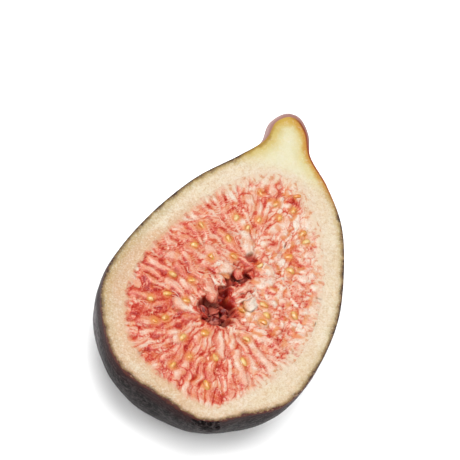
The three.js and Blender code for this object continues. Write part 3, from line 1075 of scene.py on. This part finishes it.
def bent_copy(model, outer, middle, inner, width, height, tone=0.0, folds=0.0):
    """A copy of a plump body, bent along three points, creased, and pressed flat where it meets the cut."""
    tint = draw.random()
    copy = copy_of(model)
    control = middle * 2.0 - (outer + inner) / 2.0
    span = (inner - outer).length
    rows = []
    for vertex in copy.data.vertices:
        share, left, up = vertex.co
        place = outer * (1.0 - share) ** 2 + control * 2.0 * share * (1.0 - share) + inner * share ** 2
        ahead = ((control - outer) * (1.0 - share) + (inner - control) * share).normalized()
        side = UP.cross(ahead).normalized()
        top = ahead.cross(side)
        girth = Vector((share * span, left * width * 1.5, up * height * 1.5 + tint * 40.0))
        fold = abs(noise.noise(Vector((girth.x * 0.5, girth.y * 1.2, girth.z * 1.2))))
        crease = ease(0.14, 0.0, fold) * ease(0.0, 0.15, share) * folds
        # Painted shade: the underside, the inner end and the fold creases turn redder.
        shaded_underside = folds * max(ease(0.2, -0.2, up), 0.7 * ease(0.84, 1.0, share))
        varied = tone + (0.1 + 0.3 * folds) * noise.noise(girth * 0.9)
        rows.append({"tint": tint, "tone": varied + (max(tone, 0.72) - varied) * shaded_underside,
                     "line": 0.7 * crease, "gold": ease(0.3, 0.1, tone) * ease(0.5, 0.9, share) * folds,
                     "side_mm": left * width, "run_mm": share * span})
        swell = 1.0 + folds * (0.5 * noise.noise(girth * 0.75) - 0.3 * crease)
        place += side * left * width * swell + top * up * height * swell
        place += sway(place, 1.3, place.z * 0.6) * min(0.4, width * 0.22) * (1.0 + 0.6 * folds)
        place.z += 0.16 * height * wave(place * 0.9, 80.0)
        place.z -= 0.75 * max(place.z - PRESSED_TOP, 0.0)
        vertex.co = place * MM
    write_values(copy, rows)
    return copy


FREE_FLORETS = [  # outer end and inner end, as x, y and depth under the cut; width; height; tone
    ((-4.2, 1.6, 0.6), (0.4, -2.1, 0.9), 3.3, 1.7, 0.44),
    ((2.0, 6.4, 1.4), (3.5, 4.2, 1.2), 2.1, 1.7, 0.5),
    ((-3.4, -6.2, 1.0), (-0.2, -5.4, 2.1), 1.3, 1.0, 0.55),
    ((-2.8, -7.5, 1.1), (0.4, -6.6, 2.0), 1.1, 0.9, 0.6),
    ((3.0, -11.0, 0.8), (2.7, -6.6, 1.3), 1.5, 1.2, 0.36),
    ((5.6, -9.8, 0.8), (4.1, -5.8, 1.2), 1.5, 1.2, 0.32),
    ((0.6, -11.0, 0.8), (1.2, -7.0, 1.4), 1.3, 1.1, 0.42),
    ((-0.6, -3.4, 4.2), (1.6, -2.0, 3.9), 2.6, 1.7, 0.62),
    ((1.2, -1.0, 4.0), (3.6, -2.4, 3.7), 2.3, 1.8, 0.7),
    ((4.4, -3.8, 3.6), (2.2, -3.4, 4.2), 2.2, 1.6, 0.6),
    ((0.0, -5.0, 4.4), (2.9, -4.4, 4.1), 2.5, 1.6, 0.66),
    ((-2.2, -3.2, 2.8), (-0.4, -4.4, 4.0), 1.9, 1.5, 0.62),
    ((6.2, 5.4, 1.2), (4.6, 7.4, 2.4), 1.7, 1.4, 0.56),
    ((-1.6, 3.2, 0.8), (0.8, 1.9, 1.1), 1.6, 1.2, 0.34),
    ((6.4, 4.2, 0.6), (2.9, -0.2, 0.9), 2.4, 1.5, 0.42),
    ((6.8, 2.0, 0.6), (3.5, -1.4, 0.9), 1.7, 1.3, 0.36),
    ((7.6, 0.4, 0.6), (5.6, -1.6, 0.5), 2.7, 2.1, -0.3),
    ((-3.9, 7.8, 0.9), (1.4, 3.6, 0.9), 2.9, 1.8, 0.16),
    ((1.5, 13.2, 1.0), (3.7, 10.0, 0.9), 3.3, 1.8, 0.12),
    ((9.2, 9.4, 0.9), (5.8, 7.6, 1.1), 2.1, 1.5, 0.26),
    ((9.6, 5.8, 0.9), (6.5, 4.4, 1.1), 2.2, 1.6, 0.3),
    ((-6.6, -5.6, 1.0), (-2.3, -5.2, 1.1), 2.1, 1.6, 0.3),
    ((-5.6, -3.4, 1.0), (-3.0, -3.8, 1.1), 1.9, 1.4, 0.4),
]


def make_florets(material):
    """Florets that stand free: those round the hollow and those that hang into it."""
    model = round_model("floret", 28, 22, 0.85, 0.12)
    copies = []
    for *ends, width, height, tone in FREE_FLORETS:
        start, end = (Vector((x, y, CUT - depth)) for x, y, depth in ends)
        middle = start.lerp(end, 0.5) + Vector((around(0.2), around(0.2), 0.3))
        copies.append(bent_copy(model, start, middle, end, width, height, tone, 0.5 if width > 3.2 else 1.0))
    florets = join(copies, "florets", model)
    write_values(florets, [{"from_rim": from_pulp_rim(place) / rim_width(place), "depth": CUT - place.z,
                            "rim_side": rim_side(place), "soft": 0.3} for place in places(florets)])
    finish_piece(florets, "pulp", material)


SEED_COUNT = 38
SEED_SPOTS = [  # seeds that the knife laid bare; the others are strewn between them
    (5.4, -1.9), (2.2, 23.8), (-5.6, 0.2), (13.5, 16.9), (10.2, -1.5), (7.8, -7.7), (9.6, -3.1), (-9.3, 0.0),
    (-6.9, 12.1), (-3.9, -12.1), (7.2, 19.9), (-1.6, -15.3), (3.4, 17.9), (-9.9, -10.8), (0.8, 8.2),
    (12.5, 18.3), (15.2, 0.8), (9.1, 0.5), (-8.1, -9.4), (9.4, 26.0), (5.8, 22.8), (-3.3, 6.2), (9.4, 22.7),
    (6.2, 8.2), (-1.0, 16.5), (-7.0, 7.6),
]
THREAD_COUNT = 34


def scatter_seeds():
    spots = [Vector((x, y, 0.0)) for x, y in SEED_SPOTS]
    while len(spots) < SEED_COUNT:
        place = pulp_place(0.2, 0.85)
        if hollow_depth(place) < 0.3 and all((place - other).length > 2.6 for other in spots):
            spots.append(place)
    return spots


def make_seeds(spots, height_at, material):
    model = round_model("seed", 8, 6, 1.0, 0.25)
    copies = []
    for spot in spots:
        heading = turned(inward(spot), around(0.6))
        heading.z = around(0.25)
        length = draw.uniform(1.5, 2.1)
        place = Vector((spot.x, spot.y, height_at(spot) - 0.12 * length + around(0.1)))
        half = heading * length / 2.0
        copies.append(bent_copy(model, place - half, place, place + half, length * 0.76, length * 0.7))
    finish_piece(join(copies, "seeds", model), "pulp", material)


def make_threads(height_at, material):
    """Fine pale threads that lie on the florets and mostly point at the hollow."""
    model = round_model("thread", 5, 8, 0.5, 0.5)
    copies = []
    while len(copies) < THREAD_COUNT:
        rim = draw.choice(PULP_RIM)
        place = rim.lerp(on_spine(rim), draw.uniform(0.15, 0.92))
        heading = inward(place)
        sideways = Vector((-heading.y, heading.x, 0.0))
        half = draw.uniform(0.5, 1.4)
        start, end, middle = (place + heading * run + sideways * around(0.6) for run in (-half, half, 0.0))
        if max(hollow_depth(spot) for spot in (start, middle, end)) > 0.4:
            continue
        for spot in (start, middle, end):
            spot.z = height_at(spot) + 0.02
        middle.z = max(middle.z, (start.z + end.z) / 2.0)
        wide = draw.uniform(0.08, 0.14)
        copies.append(bent_copy(model, start, middle, end, wide, wide))
    finish_piece(join(copies, "threads", model), "pulp", material)


# ---- stage ----

VIEW_TILT = radians(31.3)  # the camera leans this far off square to the cut face
VIEW_HEADING = radians(-101.8)  # towards this side, turned from +X
VIEW_ROLL = radians(239.1)  # and that side lies in this direction of the view
VIEW_DISTANCE = 450.0
VIEW_WIDTH = 88.5  # the width that the view spans at the cut face
VIEW_TARGET = Vector((-1.4, 13.3, CUT))
SENSOR_WIDTH = 36.0
BOXES = (  # of light: sideways and upwards in the view, height, size, energy
    ("top_box", -0.05, 0.1, 0.8, 0.55, 6.7),
    ("front_box", -0.12, -0.22, 0.8, 0.5, 4.5),
    ("left_box", -0.6, 0.0, 0.42, 0.4, 2.6),
    ("right_box", 0.55, -0.15, 0.5, 0.5, 2.0),
)


def view_axes():
    """The camera's right, up and backward directions."""
    level_side = Vector((cos(VIEW_HEADING), sin(VIEW_HEADING), 0.0))
    back = level_side * sin(VIEW_TILT) + UP * cos(VIEW_TILT)
    down = level_side * cos(VIEW_TILT) - UP * sin(VIEW_TILT)
    across = back.cross(down)
    right = down * cos(VIEW_ROLL) - across * sin(VIEW_ROLL)
    up = down * sin(VIEW_ROLL) + across * cos(VIEW_ROLL)
    return right, up, back


def add_to_scene(name, data):
    added = bpy.data.objects.new(name, data)
    bpy.context.scene.collection.objects.link(added)
    return added


def place_camera():
    right, up, back = view_axes()
    camera = add_to_scene("camera", bpy.data.cameras.new("camera"))
    turn = Matrix((right, up, back)).transposed()
    camera.matrix_world = Matrix.Translation((VIEW_TARGET + back * VIEW_DISTANCE) * MM) @ turn.to_4x4()
    camera.data.sensor_width = SENSOR_WIDTH
    camera.data.lens = SENSOR_WIDTH * VIEW_DISTANCE / VIEW_WIDTH
    camera.data.clip_start = 0.01
    bpy.context.scene.camera = camera


def light_stage():
    right, up, _ = view_axes()
    target = VIEW_TARGET * MM
    for name, sideways, upwards, height, size, energy in BOXES:
        light = bpy.data.lights.new(name, "AREA")
        light.size = size
        light.energy = energy
        lamp = add_to_scene(name, light)
        lamp.location = target + right * sideways + up * upwards
        lamp.location.z = height
        lamp.rotation_euler = (target - lamp.location).to_track_quat("-Z", "Y").to_euler()
    world = bpy.data.worlds.new("studio")
    world.use_nodes = True
    feed(world.node_tree.nodes["Background"], {"Color": (1.0, 1.0, 1.0, 1.0), "Strength": 0.15})
    bpy.context.scene.world = world
    bpy.context.scene.view_settings.view_transform = "Standard"


def lay_floor():
    pick()
    bpy.ops.mesh.primitive_plane_add(size=4.0, location=(0.0, 0.0, 0.0))
    floor = bpy.context.object
    floor.name = "floor"
    pale = Finish("pale_floor").surface(Base_Color=(0.97, 0.97, 0.97, 1.0), Roughness=0.9)
    floor.data.materials.append(pale)


# ---- the half fig ----

skin = skin_material()
make_rind(skin, flesh_material())
make_eye(skin)
pulp = pulp_material()
seed_spots = scatter_seeds()
bed_height = surface_finder(make_bed(scatter_florets(), seed_spots, pulp))
make_florets(pulp)
make_seeds(seed_spots, bed_height, seed_material())
make_threads(bed_height, thread_material())
place_camera()
lay_floor()
light_stage()
